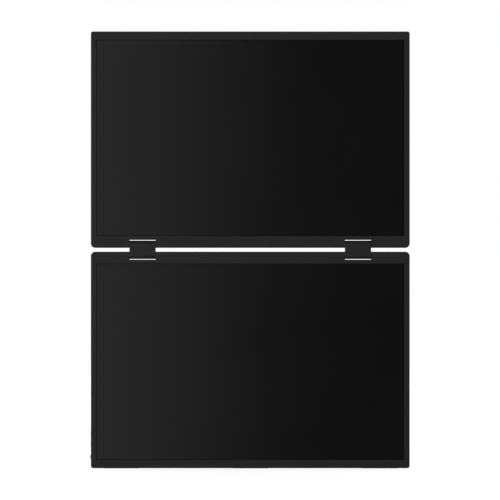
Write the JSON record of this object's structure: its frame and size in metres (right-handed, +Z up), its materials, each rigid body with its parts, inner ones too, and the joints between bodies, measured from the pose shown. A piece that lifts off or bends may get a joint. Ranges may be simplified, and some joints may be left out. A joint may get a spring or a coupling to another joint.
{
  "type": "laptop screen extender",
  "caption": "Stacked twin-screen extender: flat displays joined edge to edge by geared double-pin hinges, standing on a fold-out foot plate, with edge keys and side sockets.",
  "frame": {"origin": "on the desk, under the middle of the lower panel's bottom edge, in the plane of the hinge pins", "axes": "+Z up, front faces -Y, +X to the right seen from the front"},
  "size_m": [0.3587, 0.1381, 0.4906],
  "materials": {
    "frame_plastic": "fine textured moulded plastic, near black grey",
    "cover_plastic": "fine textured moulded plastic, near black grey",
    "hinge_cover": "satin painted hinge covers, near black grey",
    "display_glass": "anti-glare display face, switched off",
    "film": "white diffuser film",
    "light_guide": "clear acrylic",
    "tray_metal": "pressed aluminium tray",
    "lamp_strip": "lamp strip",
    "board": "green circuit board with black chips",
    "steel": "zinc-plated steel",
    "black_screw": "black oxide screws",
    "magnet": "nickel-plated magnets",
    "hinge_steel": "hardened steel, oiled",
    "gear_brass": "brass idler gears",
    "insert_brass": "knurled brass inserts",
    "cable": "black cable sleeve",
    "ribbon": "amber flat ribbon",
    "speaker": "speaker box",
    "socket_steel": "nickel-plated socket shells",
    "socket_plastic": "black socket body",
    "key_plastic": "satin key caps",
    "rubber": "black rubber",
    "stand_aluminium": "dark grey anodised aluminium"
  },
  "bodies": {
    "lower_screen": {"lower_front_frame": "frame_plastic", "lower_rear_cover": "cover_plastic", "lower_lcd_glass": "display_glass", "lower_film_stack": "film", "lower_light_guide": "light_guide", "lower_backlight_tray": "tray_metal", "lower_led_strip": "lamp_strip", "lower_panel_board": "board", "lower_case_screws": "black_screw", "lower_closing_magnets": "magnet", "lower_hinge_shafts": "hinge_steel", "lower_hinge_brackets": "steel", "lower_bracket_screws": "steel", "lower_hinge_cable": "cable", "scaler_board": "board", "scaler_screws": "steel", "display_ribbon": "ribbon", "speakers": "speaker", "usb_sockets": "socket_steel", "hdmi_socket": "socket_steel", "audio_socket": "socket_plastic", "threaded_inserts": "insert_brass", "key_board": "board", "foot_strips": "rubber", "stand_brackets": "steel", "stand_nut_plates": "steel", "stand_bracket_screws": "steel", "stand_pins": "steel"},
    "hinge_link": {"hinge_front_covers": "hinge_cover", "hinge_rear_covers": "hinge_cover", "hinge_gear_plates": "hinge_steel", "hinge_friction_plates": "hinge_steel", "hinge_blocks": "steel", "hinge_cover_screws": "black_screw", "hinge_link_cable": "cable"},
    "idler_near": {"idler_gears_near": "gear_brass"},
    "idler_far": {"idler_gears_far": "gear_brass"},
    "upper_screen": {"upper_front_frame": "frame_plastic", "upper_rear_cover": "cover_plastic", "upper_lcd_glass": "display_glass", "upper_film_stack": "film", "upper_light_guide": "light_guide", "upper_backlight_tray": "tray_metal", "upper_led_strip": "lamp_strip", "upper_panel_board": "board", "upper_case_screws": "black_screw", "upper_closing_magnets": "magnet", "upper_hinge_shafts": "hinge_steel", "upper_hinge_brackets": "steel", "upper_bracket_screws": "steel", "upper_hinge_cable": "cable"},
    "stand": {"stand_plate": "stand_aluminium", "stand_pads": "rubber"},
    "up_key": {"up_key": "key_plastic"},
    "down_key": {"down_key": "key_plastic"},
    "power_key": {"power_key": "key_plastic"}
  },
  "joints": [
    {"name": "lower_pin", "type": "hinge", "parent": "lower_screen", "child": "hinge_link", "pos_m": [0, 0, 0.23969], "axis": [1, 0, 0], "range_deg": [-67.5, 90]},
    {"name": "upper_pin", "type": "hinge", "parent": "hinge_link", "child": "upper_screen", "pos_m": [0, 0, 0.25121], "axis": [1, 0, 0], "range_deg": [-67.5, 90]},
    {"name": "idler_near_turn", "type": "hinge", "parent": "hinge_link", "child": "idler_near", "pos_m": [0, 0, 0.24353], "axis": [1, 0, 0], "range_deg": [-67.5, 90]},
    {"name": "idler_far_turn", "type": "hinge", "parent": "hinge_link", "child": "idler_far", "pos_m": [0, 0, 0.24737], "axis": [1, 0, 0], "range_deg": [-90, 67.5]},
    {"name": "stand_fold", "type": "hinge", "parent": "lower_screen", "child": "stand", "pos_m": [0, 0.0033, 0.002], "axis": [1, 0, 0], "range_deg": [0, 90]},
    {"name": "up_key_press", "type": "slide", "parent": "lower_screen", "child": "up_key", "axis": [1, 0, 0], "range_m": [0, 0.00025], "stiffness_N_per_m": 6000},
    {"name": "down_key_press", "type": "slide", "parent": "lower_screen", "child": "down_key", "axis": [1, 0, 0], "range_m": [0, 0.00025], "stiffness_N_per_m": 6000},
    {"name": "power_key_press", "type": "slide", "parent": "lower_screen", "child": "power_key", "axis": [1, 0, 0], "range_m": [0, 0.00035], "stiffness_N_per_m": 5000}
  ],
  "couplings": [
    {"joint": "upper_pin", "follows": "lower_pin", "ratio": 1},
    {"joint": "idler_near_turn", "follows": "lower_pin", "ratio": 1},
    {"joint": "idler_far_turn", "follows": "lower_pin", "ratio": -1}
  ]
}
